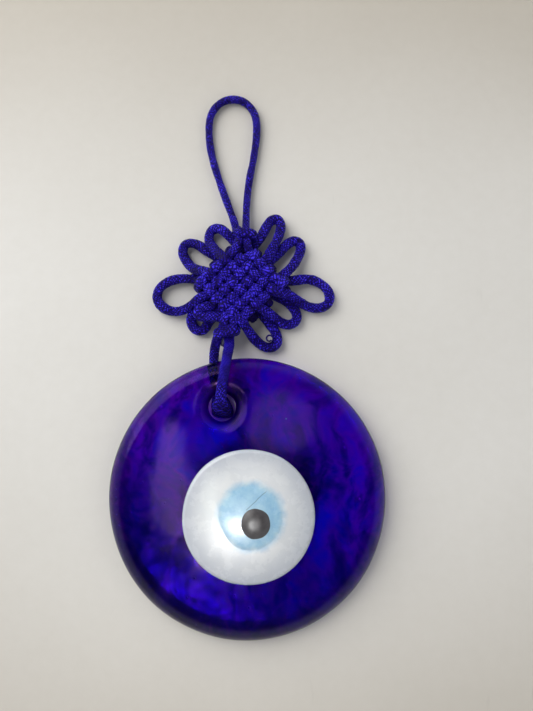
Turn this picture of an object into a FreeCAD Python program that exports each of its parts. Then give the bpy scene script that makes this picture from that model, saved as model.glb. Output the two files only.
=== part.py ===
"""Evil eye ornament: a fused glass eye hung from a mystic knot tied in satin cord.

It is laid out on its back: +Z is up and out of the eye, +Y runs from the glass towards the
hanging loop, and Z = 0 is the surface that it lies on. The origin is under the middle of the
knot and the glass together. The glass leans by its tilt, because the tether passes under its
top edge. Lengths are in millimetres.
"""
import FreeCAD, Part
import os
from math import cos, pi, radians, sin, sqrt, tan

Vec = FreeCAD.Vector
os.makedirs("parts", exist_ok=True)

# Glass eye, in the glass's own frame: its flat back is the plane z = 0
disc_radius = 44.4
disc_centre_height = 8.6
disc_shoulder_radius = 40.0
disc_shoulder_height = 6.3
disc_edge_height = 2.4
disc_back_radius = 42.8
disc_rim_bulge_out = 1.1
disc_rim_bulge_up = 2.5
disc_heel_in = 0.45
disc_heel_height = 0.75
disc_y = -24.7
disc_tilt = 2.1

hole_x = -8.3
hole_y = 28.3
hole_radius = 4.6
hole_front_flare = 3.6
hole_back_flare = 1.4
hole_mouth_height = 7.7
over_cut = 3.0

white_x = 0.6
white_y = -5.4
white_radius = 20.6
white_seat = 7.4
white_edge_height = 9.3
white_top = 11.3

iris_x = 1.4
iris_y = -5.0
iris_radius = 10.6
iris_seat = 10.5
iris_edge_height = 11.2
iris_top = 12.0

pupil_x = 2.9
pupil_y = -7.0
pupil_radius = 4.5
pupil_seat = 11.3
pupil_edge_height = 12.0
pupil_top = 12.7

# The white glass is a poured puddle with a rolled edge
roll_width = 1.6
roll_drop = 0.9
roll_rise = 0.3
roll_bulge_in = 0.25
roll_bulge_down = 0.1

# Cord: soft and full in the knot, pulled thinner where it carries the weight
ear_cord = 2.9
loop_cord = 2.4
tether_cord = 2.2
end_cord = 1.7

# Knot: a woven diamond, its four corners before rounding going left, top, right, bottom
knot_corners = [(-19.8, 45.4), (-1.8, 63.4), (15.2, 45.5), (-3.6, 27.8)]
knot_bottom = 0.1
knot_top = 8.3
knot_corner_radius = 6.5
knot_edge_radius = 2.2

# Wraps: the turns of cord that close the knot above and below (x, y of the middle)
top_wrap_middle = (-1.2, 62.4)
top_wrap_size = (8.4, 3.6)
bottom_wrap_middle = (-7.0, 28.4)
bottom_wrap_size = (9.2, 4.4)
wrap_bottom = 1.9
wrap_top = 7.9
wrap_roundness = 0.47

# Each arc on a route takes this share of the shorter run beside it
arc_share = 0.45
quarter_arc_middle = 1 - 1 / sqrt(2)
level_tolerance = 0.01

# Routes, as the corners of straight runs. Each ear begins and ends inside the woven diamond.
ear_routes = {
    "ear_upper_left_inner": [
        (-4.2, 58.6, 3.4), (-6.9, 62.8, 3.4), (-10.0, 65.8, 2.6), (-13.4, 65.2, 1.7),
        (-14.0, 61.3, 1.9), (-12.4, 58.3, 3.4), (-9.6, 55.2, 5.4)],
    "ear_upper_left_outer": [
        (-11.8, 54.0, 2.4), (-14.9, 57.9, 2.4), (-18.2, 60.3, 2.0), (-22.0, 60.6, 1.7),
        (-23.2, 57.2, 1.7), (-21.2, 53.3, 2.0), (-18.4, 50.3, 3.8), (-15.2, 47.9, 5.6)],
    "ear_left": [
        (-14.6, 46.3, 2.4), (-18.6, 47.4, 2.2), (-23.0, 47.9, 1.9), (-27.6, 46.9, 1.7),
        (-31.0, 44.2, 1.7), (-31.5, 39.9, 1.7), (-28.2, 36.7, 1.7), (-23.7, 35.9, 1.8),
        (-19.5, 37.7, 3.0), (-16.4, 40.0, 4.6), (-13.6, 42.3, 5.6)],
    "ear_lower_left_outer": [
        (-13.6, 41.2, 2.2), (-17.1, 38.0, 1.9), (-19.3, 35.4, 1.7), (-19.5, 31.9, 1.7),
        (-17.5, 29.4, 1.7), (-14.9, 29.7, 1.7), (-13.6, 32.6, 1.7), (-11.6, 34.8, 1.8),
        (-8.8, 36.0, 2.2)],
    "ear_lower_left_inner": [
        (-11.2, 40.2, 5.6), (-14.0, 38.0, 5.2), (-16.2, 35.9, 4.9), (-15.9, 33.6, 4.9),
        (-13.6, 32.8, 4.9), (-11.0, 33.6, 5.1), (-8.6, 35.4, 5.4)],
    "ear_upper_right_inner": [
        (1.4, 57.2, 3.2), (3.8, 61.3, 3.0), (5.8, 65.4, 2.4), (7.4, 68.6, 1.8),
        (10.1, 69.4, 1.8), (11.5, 66.9, 1.9), (10.7, 63.2, 2.6), (9.0, 59.0, 4.2),
        (6.6, 54.0, 5.8)],
    "ear_upper_right_outer": [
        (8.0, 52.4, 2.4), (10.6, 56.6, 2.3), (13.2, 60.0, 1.9), (15.8, 61.6, 1.7),
        (18.2, 60.3, 1.7), (18.0, 57.2, 1.9), (16.5, 54.0, 2.6), (14.8, 51.0, 3.8),
        (12.4, 48.2, 5.2)],
    "ear_right": [
        (12.0, 45.4, 2.4), (15.8, 46.9, 2.2), (20.2, 47.8, 1.8), (24.6, 46.4, 1.7),
        (27.8, 43.3, 1.7), (27.9, 39.2, 1.7), (24.8, 37.2, 1.7), (20.6, 37.6, 1.8),
        (16.8, 39.6, 3.0), (13.8, 41.6, 4.6), (10.8, 43.8, 5.6)],
    "ear_lower_right_outer": [
        (9.0, 42.8, 2.4), (12.8, 40.1, 2.2), (16.0, 37.0, 1.9), (16.9, 33.4, 1.7),
        (14.4, 31.4, 1.7), (11.0, 32.0, 2.2), (7.4, 34.8, 4.4), (3.6, 38.2, 5.8)],
    "ear_lower_right_inner": [
        (2.4, 37.2, 2.2), (6.4, 32.8, 2.0), (9.2, 29.4, 1.7), (10.2, 25.9, 1.7),
        (8.4, 23.7, 1.7), (5.2, 23.9, 1.7), (1.8, 26.8, 1.8), (-2.0, 31.2, 2.2)],
}
loop_hinge_y = 65.8
loop_hinge_z = 3.4
loop_route = [
    (-4.3, loop_hinge_y, loop_hinge_z), (-7.1, 73.7, 1.8), (-10.6, 83.6, 1.3),
    (-13.5, 93.2, 1.3), (-14.7, 102.4, 1.3), (-14.0, 109.8, 1.3), (-9.3, 114.9, 1.3),
    (-2.5, 114.9, 1.3), (2.2, 109.8, 1.3), (2.9, 102.4, 1.3), (1.7, 92.4, 1.3),
    (-0.2, 82.4, 1.3), (-0.9, 73.4, 1.8), (-0.9, loop_hinge_y, loop_hinge_z)]
tether_hinge_y = 24.8
tether_hinge_z = 5.0
tether_route = [
    (-6.0, tether_hinge_y, tether_hinge_z), (-6.3, 21.3, 8.9), (-6.9, 16.4, 11.4),
    (-7.8, 10.6, 12.1), (-8.5, 6.0, 10.6), (-8.3, 3.0, 7.0), (-8.0, 1.9, 3.6),
    (-8.7, 3.1, 1.3), (-10.2, 8.6, 1.2), (-11.5, 15.3, 1.2), (-11.6, 20.8, 1.8),
    (-10.7, tether_hinge_y, tether_hinge_z)]
end_route_start = (-8.35, 27.0, 4.8)
end_route_stop = (-8.35, 24.2, 4.2)


def save(name, shape):
    """Write one closed solid as its own file."""
    solid = max(shape.Solids, key=lambda piece: piece.Volume)
    if not solid.isValid():
        raise ValueError(name + " is not a valid solid")
    solid.exportStep("parts/" + name + ".step")
    box = solid.optimalBoundingBox(False)
    print("%-24s volume %9.1f  z %.2f to %.2f  solids %d"
          % (name, solid.Volume, box.ZMin, box.ZMax, len(shape.Solids)))
    return solid


def rounded_path(points, name):
    """Straight runs joined by tangent arcs, each as large as its two runs allow."""
    corners = [Vec(*point) for point in points]
    edges = []
    radii = []
    start = corners[0]
    for before, corner, after in zip(corners, corners[1:], corners[2:]):
        way_in = (corner - before).normalize()
        way_out = (after - corner).normalize()
        turn = way_in.getAngle(way_out)
        setback = arc_share * min((corner - before).Length, (after - corner).Length)
        radius = setback / tan(turn / 2)
        arc_start = corner - way_in * setback
        arc_stop = corner + way_out * setback
        towards_centre = (way_out - way_in).normalize()
        arc_middle = corner + towards_centre * radius * (1 / cos(turn / 2) - 1)
        edges.append(Part.LineSegment(start, arc_start).toShape())
        edges.append(Part.Arc(arc_start, arc_middle, arc_stop).toShape())
        radii.append(radius)
        start = arc_stop
    edges.append(Part.LineSegment(start, corners[-1]).toShape())
    print("%-24s arc radii %s" % (name, ", ".join("%.1f" % radius for radius in radii)))
    return Part.Wire(edges)


def tube(points, diameter, name):
    """A round cord swept along its route, with its volume compared with section x length."""
    path = rounded_path(points, name)
    first = Vec(*points[0])
    direction = Vec(*points[1]) - first
    section = Part.Wire(Part.Circle(first, direction, diameter / 2).toShape())
    solid = path.makePipeShell([section], True, False)
    expected = pi * diameter ** 2 / 4 * path.Length
    print("%-24s length %.1f  volume ratio %.3f" % (name, path.Length, solid.Volume / expected))
    return solid


def ball_ended(points, diameter, name):
    """A cord whose two ends are round, so that it turns about a hinge through both."""
    solid = tube(points, diameter, name)
    for end in (points[0], points[-1]):
        solid = solid.fuse(Part.makeSphere(diameter / 2, Vec(*end)))
    return solid.removeSplitter()


def revolved(profile_edges, x, y):
    """Turn a closed profile in the XZ plane about the vertical axis through (x, y)."""
    face = Part.Face(Part.Wire(profile_edges))
    solid = face.revolve(Vec(0, 0, 0), Vec(0, 0, 1), 360)
    solid.translate(Vec(x, y, 0))
    return solid


def at(radius, height):
    return Vec(radius, 0, height)


def line(a, b):
    return Part.LineSegment(a, b).toShape()


def arc(a, b, c):
    return Part.Arc(a, b, c).toShape()


def dome(radius, edge_height, top):
    """The arc from a round piece's edge up to its middle, level where it meets the axis."""
    rise = top - edge_height
    sphere = (radius ** 2 + rise ** 2) / (2 * rise)
    halfway = radius / 2
    middle_height = top - sphere + sqrt(sphere ** 2 - halfway ** 2)
    return arc(at(radius, edge_height), at(halfway, middle_height), at(0, top))


def pebble(x, y, radius, seat, edge_height, top):
    """A puddle of glass: straight into its seat, round at the edge, gently domed above."""
    edge = radius - roll_width
    lip = at(radius, edge_height - roll_drop)
    roll_top = edge_height + roll_rise
    bulge = at(radius - roll_bulge_in, edge_height - roll_bulge_down)
    return revolved([
        line(at(0, seat), at(edge, seat)),
        line(at(edge, seat), lip),
        arc(lip, bulge, at(edge, roll_top)),
        dome(edge, roll_top, top),
        line(at(0, top), at(0, seat))], x, y)


def lens(x, y, radius, seat, edge_height, top):
    """A smaller, thinner gather of glass with a sharp outline."""
    return revolved([
        line(at(0, seat), at(radius, seat)),
        line(at(radius, seat), at(radius, edge_height)),
        dome(radius, edge_height, top),
        line(at(0, top), at(0, seat))], x, y)


def glass_disc():
    """The blue disc: flat behind, rounded at the rim, gently domed in front."""
    back_edge = at(disc_back_radius, 0)
    rim = at(disc_radius, disc_edge_height)
    shoulder = at(disc_shoulder_radius, disc_shoulder_height)
    return revolved([
        line(at(0, 0), back_edge),
        arc(back_edge, at(disc_radius - disc_heel_in, disc_heel_height), rim),
        arc(rim, at(disc_radius - disc_rim_bulge_out, disc_edge_height + disc_rim_bulge_up),
            shoulder),
        dome(disc_shoulder_radius, disc_shoulder_height, disc_centre_height),
        line(at(0, disc_centre_height), at(0, 0))], 0, 0)


def hole_cutter():
    """The hole in the disc, flared at both faces where the hot glass was pierced."""
    wide = hole_radius + hole_front_flare
    back = hole_radius + hole_back_flare
    throat = hole_mouth_height - hole_front_flare
    top = hole_mouth_height + over_cut
    return revolved([
        line(at(0, -over_cut), at(back, -over_cut)),
        line(at(back, -over_cut), at(back, 0)),
        arc(at(back, 0),
            at(hole_radius + hole_back_flare * quarter_arc_middle,
               hole_back_flare * quarter_arc_middle),
            at(hole_radius, hole_back_flare)),
        line(at(hole_radius, hole_back_flare), at(hole_radius, throat)),
        arc(at(hole_radius, throat),
            at(hole_radius + hole_front_flare * quarter_arc_middle,
               hole_mouth_height - hole_front_flare * quarter_arc_middle),
            at(wide, hole_mouth_height)),
        line(at(wide, hole_mouth_height), at(wide, top)),
        line(at(wide, top), at(0, top)),
        line(at(0, top), at(0, -over_cut))], hole_x, hole_y)


def glass_in_place(shape):
    """Tilt the glass about the X axis, rest it on Z = 0 and move it to its place."""
    lift = disc_back_radius * sin(radians(disc_tilt))
    shape.rotate(Vec(0, 0, 0), Vec(1, 0, 0), disc_tilt)
    shape.translate(Vec(0, disc_y, lift))
    return shape


def build_glass():
    pupil = lens(pupil_x, pupil_y, pupil_radius, pupil_seat, pupil_edge_height, pupil_top)
    iris = lens(iris_x, iris_y, iris_radius, iris_seat, iris_edge_height, iris_top)
    white = pebble(white_x, white_y, white_radius, white_seat, white_edge_height, white_top)
    disc = glass_disc().cut(hole_cutter())
    pieces = {
        "blue_glass_disc": disc.cut(white),
        "white_glass_eye": white.cut(iris).cut(pupil),
        "pale_blue_iris": iris.cut(pupil),
        "dark_pupil": pupil}
    placed = {}
    for name, shape in pieces.items():
        placed[name] = glass_in_place(shape)
    lowest = min(shape.optimalBoundingBox(False).ZMin for shape in placed.values())
    for name, shape in placed.items():
        shape.translate(Vec(0, 0, -lowest))
        save(name, shape)


def wrap_block(middle, size):
    """A block rounded almost to a roll, standing for the turns of cord that wrap the others."""
    block = Part.makeBox(size[0], size[1], wrap_top - wrap_bottom,
                         Vec(middle[0] - size[0] / 2, middle[1] - size[1] / 2, wrap_bottom))
    return block.makeFillet(wrap_roundness * size[1], block.Edges)


def woven_diamond():
    """The woven middle of the knot: a diamond of cord two layers deep."""
    corners = [Vec(x, y, knot_bottom) for x, y in knot_corners]
    outline = Part.makePolygon(corners + [corners[0]])
    block = Part.Face(outline).extrude(Vec(0, 0, knot_top - knot_bottom))
    upright = [edge for edge in block.Edges
               if abs(edge.Vertexes[0].Z - edge.Vertexes[1].Z) > level_tolerance]
    block = block.makeFillet(knot_corner_radius, upright)
    level = [edge for edge in block.Edges
             if abs(edge.BoundBox.ZMax - edge.BoundBox.ZMin) < level_tolerance]
    return block.makeFillet(knot_edge_radius, level)


def build_knot():
    """The knot's own pieces meet face to face: each later one is trimmed by the earlier ones."""
    diamond = save("knot_body", woven_diamond())
    made = [diamond]
    wraps = {
        "top_wrap_knot": (top_wrap_middle, top_wrap_size),
        "bottom_wrap_knot": (bottom_wrap_middle, bottom_wrap_size)}
    for name, (middle, size) in wraps.items():
        made.append(save(name, wrap_block(middle, size).cut(diamond)))
    for name, route in ear_routes.items():
        ear = tube(route, ear_cord, name)
        for other in made:
            ear = ear.cut(other)
        made.append(save(name, ear))
    stub = Part.makeCylinder(
        end_cord / 2, (Vec(*end_route_stop) - Vec(*end_route_start)).Length,
        Vec(*end_route_start), Vec(*end_route_stop) - Vec(*end_route_start))
    stub = stub.fuse(Part.makeSphere(end_cord / 2, Vec(*end_route_stop)))
    for other in made:
        stub = stub.cut(other)
    save("cord_end", stub.removeSplitter())


build_glass()
build_knot()
save("hanging_loop", ball_ended(loop_route, loop_cord, "hanging_loop"))
save("tether_loop", ball_ended(tether_route, tether_cord, "tether_loop"))
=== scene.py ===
"""Looks of the evil eye ornament: a fused glass eye on a satin cord knot, built around its frame.

Routes are in millimetres, as in the part's source, and every mesh is in metres.
"""
import math
import random

import bmesh
import bpy
import numpy as np
from mathutils import Euler, Matrix, Vector, noise


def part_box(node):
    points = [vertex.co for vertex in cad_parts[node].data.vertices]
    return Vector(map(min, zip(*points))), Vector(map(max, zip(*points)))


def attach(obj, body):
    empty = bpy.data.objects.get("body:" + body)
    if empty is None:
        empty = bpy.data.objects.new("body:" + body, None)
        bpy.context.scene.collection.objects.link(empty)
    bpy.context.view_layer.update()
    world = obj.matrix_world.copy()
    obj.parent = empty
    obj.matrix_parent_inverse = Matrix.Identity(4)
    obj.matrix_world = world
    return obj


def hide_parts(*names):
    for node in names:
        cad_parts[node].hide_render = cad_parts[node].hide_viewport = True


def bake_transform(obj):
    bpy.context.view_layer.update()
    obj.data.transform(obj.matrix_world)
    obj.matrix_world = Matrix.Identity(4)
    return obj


MM = 0.001

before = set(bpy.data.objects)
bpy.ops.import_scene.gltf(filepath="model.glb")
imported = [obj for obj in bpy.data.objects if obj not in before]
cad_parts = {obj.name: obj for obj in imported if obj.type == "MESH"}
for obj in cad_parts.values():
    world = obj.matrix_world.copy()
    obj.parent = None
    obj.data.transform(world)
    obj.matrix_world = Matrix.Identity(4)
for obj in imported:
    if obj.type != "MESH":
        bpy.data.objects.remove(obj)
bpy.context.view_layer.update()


def linked(name, data):
    """A new object that shows this mesh, curve, lamp or camera, put in the scene."""
    obj = bpy.data.objects.new(name, data)
    bpy.context.scene.collection.objects.link(obj)
    return obj


# ---------------------------------------------------------------- camera

def make_camera():
    """Above the knot's lower end, looking down and a little towards the hanging loop."""
    data = bpy.data.cameras.new("camera")
    data.lens = 27
    data.sensor_width = 36
    data.clip_start = 0.01
    camera = linked("camera", data)
    camera.location = Vector((6.2, -4.0, 180)) * MM
    camera.rotation_euler = Euler((math.radians(8), 0, 0))
    bpy.context.scene.camera = camera


make_camera()


# ---------------------------------------------------------------- cord geometry

PLAITS = 8                  # plaits of each slant round the cord
PLAIT_LENGTH = 1.3 * MM     # length of one diamond of the braid along the cord
PLAIT_RELIEF = 0.11 * MM
CORD_SIDES = 48
CORD_STEP = 0.25 * MM
FULLNESS = 2.5              # power of the rounded box that is the cord's section: 2 is an oval
TABLE_GAP = 0.12 * MM       # room that a cord's flat underside leaves for its braid
STEEPEST = 0.15             # least upward part of the thickness that counts as lying flat


def smooth_path(route):
    """Points along the NURBS whose control points are the route, in metres."""
    data = bpy.data.curves.new("path", "CURVE")
    data.dimensions = "3D"
    data.resolution_u = 16
    spline = data.splines.new("NURBS")
    spline.points.add(len(route) - 1)
    for point, place in zip(spline.points, route):
        point.co = (*(Vector(place) * MM), 1)
    spline.order_u = 3
    spline.use_endpoint_u = True
    carrier = linked("path", data)
    mesh = bpy.data.meshes.new_from_object(carrier)
    line = np.array([v.co for v in mesh.vertices], float)
    bpy.data.objects.remove(carrier)
    bpy.data.curves.remove(data)
    bpy.data.meshes.remove(mesh)
    return line


def evenly(line, step):
    """The same line with its points one step apart, and their distances along it."""
    gaps = np.linalg.norm(np.diff(line, axis=0), axis=1)
    line = line[np.concatenate([[True], gaps > 1e-7])]
    along = np.concatenate([[0], np.cumsum(gaps[gaps > 1e-7])])
    count = max(4, int(round(along[-1] / step)))
    marks = np.linspace(0, along[-1], count + 1)
    return np.stack([np.interp(marks, along, line[:, k]) for k in range(3)], 1), marks


def wander(marks, seed, length, size):
    """A slow, smooth, repeatable variation along a cord."""
    return np.array([noise.noise(Vector((m / length, seed * 3.7, 0))) for m in marks]) * size


def braid(u, v):
    """Height of the braid, 0 in its grooves to 1, where u counts plaits round and v along."""
    a = np.sin(np.pi * (u + v))
    b = np.sin(np.pi * (u - v))
    over = np.clip(0.5 + 1.6 * a * b, 0, 1)
    return over * np.abs(a) + (1 - over) * np.abs(b)


def plait_counts(turns, along, seed):
    """How many plaits round and along the cord each point is, drawn unevenly as by hand."""
    u = turns / (2 * np.pi) * PLAITS
    u = u + 0.24 * np.sin(0.83 * along + seed + 2 * turns)
    u = u + 0.16 * np.sin(2.1 * along + 1.9 * seed + turns)
    v = along + 0.26 * np.sin(0.57 * along + 2.3 * seed + 2 * turns)
    v = v + 0.15 * np.sin(1.7 * along + seed + 3 * turns)
    return u, v


def section_frame(line, marks, side, roll, seed):
    """The directions of a cord's width and thickness at each point of its line."""
    tangent = np.gradient(line, axis=0)
    tangent /= np.linalg.norm(tangent, axis=1)[:, None]
    if side is None:
        across = np.cross(np.array([0.0, 0.0, 1.0]), tangent)
    else:
        across = np.tile(np.array(side, float), (len(line), 1))
        across -= (across * tangent).sum(1)[:, None] * tangent
    across /= np.linalg.norm(across, axis=1)[:, None]
    through = np.cross(tangent, across)
    turn = np.radians(wander(marks, seed + 11, 7 * MM, 2 * roll))[:, None]
    return (across * np.cos(turn) + through * np.sin(turn),
            through * np.cos(turn) - across * np.sin(turn))


def sweep(name, line, width, thickness, side=None, seed=0, swell=None, roll=9):
    """A flattened braided cord along a line. side is the direction of its width where that is the
    same all along; without it the cord lies flat. swell, if given, scales the section from the
    points of the line, and roll is how far, in degrees, the cord twists to and fro."""
    line, marks = evenly(line, CORD_STEP)
    across, through = section_frame(line, marks, side, roll, seed)
    scale = 1 + wander(marks, seed, 5 * MM, 0.13) + wander(marks, seed + 5, 1.6 * MM, 0.05)
    if swell is not None:
        scale = scale * swell(line)
    turns = np.linspace(0, 2 * np.pi, CORD_SIDES, endpoint=False)
    u, v = plait_counts(turns[None, :], (marks / PLAIT_LENGTH)[:, None], seed)
    bulge = np.abs(np.cos(turns)) ** FULLNESS + np.abs(np.sin(turns)) ** FULLNESS
    bulge **= -1 / FULLNESS
    relief = (braid(u, v) - 0.6) * PLAIT_RELIEF
    wide = (width * MM / 2 * scale)[:, None] * (bulge * np.cos(turns))[None, :]
    room = (line[:, 2] - TABLE_GAP) / np.maximum(np.abs(through[:, 2]), STEEPEST)
    half_thick = np.minimum(thickness * MM / 2 * scale, room)     # it flattens on the table
    thick = half_thick[:, None] * (bulge * np.sin(turns))[None, :]
    wide += relief * np.cos(turns)[None, :]
    thick += relief * np.sin(turns)[None, :]
    points = (line[:, None, :] + wide[:, :, None] * across[:, None, :]
              + thick[:, :, None] * through[:, None, :])
    return grid_mesh(name, points, u, v)


def grid_mesh(name, points, u, v):
    """A closed tube from rings of points, with its plait counts kept as UVs."""
    rings, sides = points.shape[:2]
    index = np.arange(rings * sides).reshape(rings, sides)
    after = np.roll(index, -1, axis=1)
    quads = np.stack([index[:-1], after[:-1], after[1:], index[1:]], -1).reshape(-1, 4)
    faces = quads.tolist() + [index[0][::-1].tolist(), index[-1].tolist()]
    mesh = bpy.data.meshes.new(name)
    mesh.from_pydata(points.reshape(-1, 3).tolist(), [], faces)
    u_after = np.roll(u, -1, axis=1)
    u_after[:, -1] += PLAITS
    v_after = np.roll(v, -1, axis=1)
    corners = np.stack([
        np.stack([u[:-1], v[:-1]], -1), np.stack([u_after[:-1], v_after[:-1]], -1),
        np.stack([u_after[1:], v_after[1:]], -1), np.stack([u[1:], v[1:]], -1)], 2)
    flat = np.concatenate([corners.reshape(-1, 2), np.zeros((2 * sides, 2))])
    mesh.uv_layers.new(name="braid").data.foreach_set("uv", flat.ravel())
    mesh.polygons.foreach_set("use_smooth", [True] * (len(faces) - 2) + [False] * 2)
    return linked(name, mesh)


def finish_mesh(name, work):
    """The smooth mesh that has been worked out, as a new object."""
    mesh = bpy.data.meshes.new(name)
    work.to_mesh(mesh)
    work.free()
    mesh.polygons.foreach_set("use_smooth", [True] * len(mesh.polygons))
    return linked(name, mesh)


# ---------------------------------------------------------------- material helpers

def new_material(name):
    """An empty node material, and its node tree."""
    material = bpy.data.materials.new(name)
    material.use_nodes = True
    tree = material.node_tree
    tree.nodes.clear()
    return material, tree


def add(tree, kind, values=None, **settings):
    """A node with its settings, and its inputs set to numbers, colours or other nodes' outputs."""
    made = tree.nodes.new("ShaderNode" + kind)
    for key, value in settings.items():
        setattr(made, key, value)
    for key, value in (values or {}).items():
        if isinstance(value, bpy.types.NodeSocket):
            tree.links.new(value, made.inputs[key])
        else:
            made.inputs[key].default_value = value
    return made


def calc(tree, operation, *values, clamp=False):
    """What a sum on numbers or other nodes' outputs comes to."""
    made = tree.nodes.new("ShaderNodeMath")
    made.operation = operation
    made.use_clamp = clamp
    for k, value in enumerate(values):
        if isinstance(value, bpy.types.NodeSocket):
            tree.links.new(value, made.inputs[k])
        else:
            made.inputs[k].default_value = value
    return made.outputs[0]


def ramp(tree, factor, *stops):
    """A colour ramp: each stop is (position, colour), with the colour linear."""
    made = tree.nodes.new("ShaderNodeValToRGB")
    tree.links.new(factor, made.inputs[0])
    elements = made.color_ramp.elements
    while len(elements) < len(stops):
        elements.new(0.5)
    for element, (position, colour) in zip(elements, stops):
        element.position = position
        element.color = (*colour, 1)
    return made.outputs["Color"]


def span(tree, value, low, high, to_low=0.0, to_high=1.0):
    """A smooth step from to_low at low to to_high at high."""
    made = add(tree, "MapRange", {0: value, 1: low, 2: high, 3: to_low, 4: to_high})
    made.interpolation_type = "SMOOTHSTEP"
    return made.outputs[0]


def mixed(tree, factor, a, b, kind="MIX"):
    """Colour a where the factor is 0 and b, or the two blended, where it is 1."""
    made = tree.nodes.new("ShaderNodeMix")
    made.data_type = "RGBA"
    made.blend_type = kind
    for socket, value in ((made.inputs[0], factor), (made.inputs[6], a), (made.inputs[7], b)):
        if isinstance(value, bpy.types.NodeSocket):
            tree.links.new(value, socket)
        else:
            socket.default_value = value if isinstance(value, float) else (*value, 1)
    return made.outputs[2]


def part_of(tree, vector, axis):
    """The x (0), y (1) or z (2) part of a vector."""
    return add(tree, "SeparateXYZ", {0: vector}).outputs[axis]


def wave(tree, value, half_turns):
    """A sine whose angle is the value times this many half turns."""
    return calc(tree, "SINE", calc(tree, "MULTIPLY", value, half_turns * math.pi))


def lifted(tree, mask, height, value):
    """The value where the mask is 1, less by a height where it is 0."""
    return calc(tree, "MULTIPLY_ADD", mask, height, calc(tree, "SUBTRACT", value, height))


def cloud(tree, place, scale, detail=3.0, rough=0.5, distortion=0.0):
    return add(tree, "TexNoise", {"Vector": place, "Scale": scale, "Detail": detail,
                                  "Roughness": rough, "Distortion": distortion}).outputs["Fac"]


def bumped(tree, height, strength, distance):
    """The normal of a surface with these heights on it, over a distance in millimetres."""
    return add(tree, "Bump", {
        "Strength": strength, "Distance": distance * MM, "Height": height}).outputs[0]


def plain_surface(material, values):
    """Finish a material with one Principled shader that has these values."""
    tree = material.node_tree
    shader = add(tree, "BsdfPrincipled", values)
    add(tree, "OutputMaterial", {"Surface": shader.outputs[0]})
    return material


# ---------------------------------------------------------------- satin cord material

FIBRES = 10               # fibres across a plait


def braid_nodes(tree, round_it, along):
    """The braid as nodes: how near a point is to its plait's crown, how near to a fibre's, and
    a chance value for each plait."""
    slant_a = calc(tree, "ADD", round_it, along)
    slant_b = calc(tree, "SUBTRACT", round_it, along)
    wave_a, wave_b = wave(tree, slant_a, 1), wave(tree, slant_b, 1)
    product = calc(tree, "MULTIPLY", wave_a, wave_b)
    over = calc(tree, "MULTIPLY_ADD", product, 1.6, 0.5, clamp=True)
    crown_a = calc(tree, "ABSOLUTE", wave_a)
    crown_b = calc(tree, "ABSOLUTE", wave_b)
    crown = add(tree, "Mix", {0: over, 2: crown_b, 3: crown_a}).outputs[0]
    fibre = add(tree, "Mix", {
        0: over, 2: wave(tree, slant_b, FIBRES), 3: wave(tree, slant_a, FIBRES)}).outputs[0]
    plait = add(tree, "CombineXYZ", {
        0: calc(tree, "FLOOR", slant_a), 1: calc(tree, "FLOOR", slant_b)}).outputs[0]
    chance = add(tree, "TexWhiteNoise", {"Vector": plait}).outputs["Value"]
    return crown, fibre, chance


def hole_shade_and_taut_sheen(tree, light, place, hole_shade_at, round_it, fuzz, patch):
    """The tether's brightness: darker near the point given, painted shade inside the glass's hole,
    and in lengthwise lines of painted sheen where it is pulled taut.
    """
    off = add(tree, "VectorMath", {0: place, 1: Vector(hole_shade_at) * MM},
              operation="DISTANCE").outputs["Value"]
    front = span(tree, part_of(tree, place, 2), 4 * MM, 6 * MM)
    # Where it is pulled taut, lengthwise lines of painted sheen take the place of the plaits' sheen.
    taut = calc(tree, "MULTIPLY", span(tree, off, 11 * MM, 14 * MM), front)
    lines = calc(tree, "SINE", calc(tree, "MULTIPLY_ADD", round_it, 7.3 * math.pi, fuzz))
    lines = calc(tree, "MULTIPLY_ADD", lines, 0.1, calc(tree, "MULTIPLY", patch, 0.75))
    light = add(tree, "Mix", {0: taut, 2: light, 3: lines}).outputs[0]
    # Painted shade: darker within a few millimetres of the point, inside the glass's hole.
    return lifted(tree, span(tree, off, 4.5 * MM, 8.5 * MM), 0.08, light)


def knot_hollow_shade(tree, light, place):
    """The knot's strands with painted shade: darker between its two layers and where strands dip,
    lighter where they stand proud.
    """
    level = calc(tree, "SUBTRACT", part_of(tree, place, 2), KNOT_MIDDLE.z * MM)
    proud = span(tree, calc(tree, "ABSOLUTE", level), 1.9 * MM, 4.1 * MM)
    return calc(tree, "MULTIPLY_ADD", proud, 0.42, calc(tree, "SUBTRACT", light, 0.3))


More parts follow.
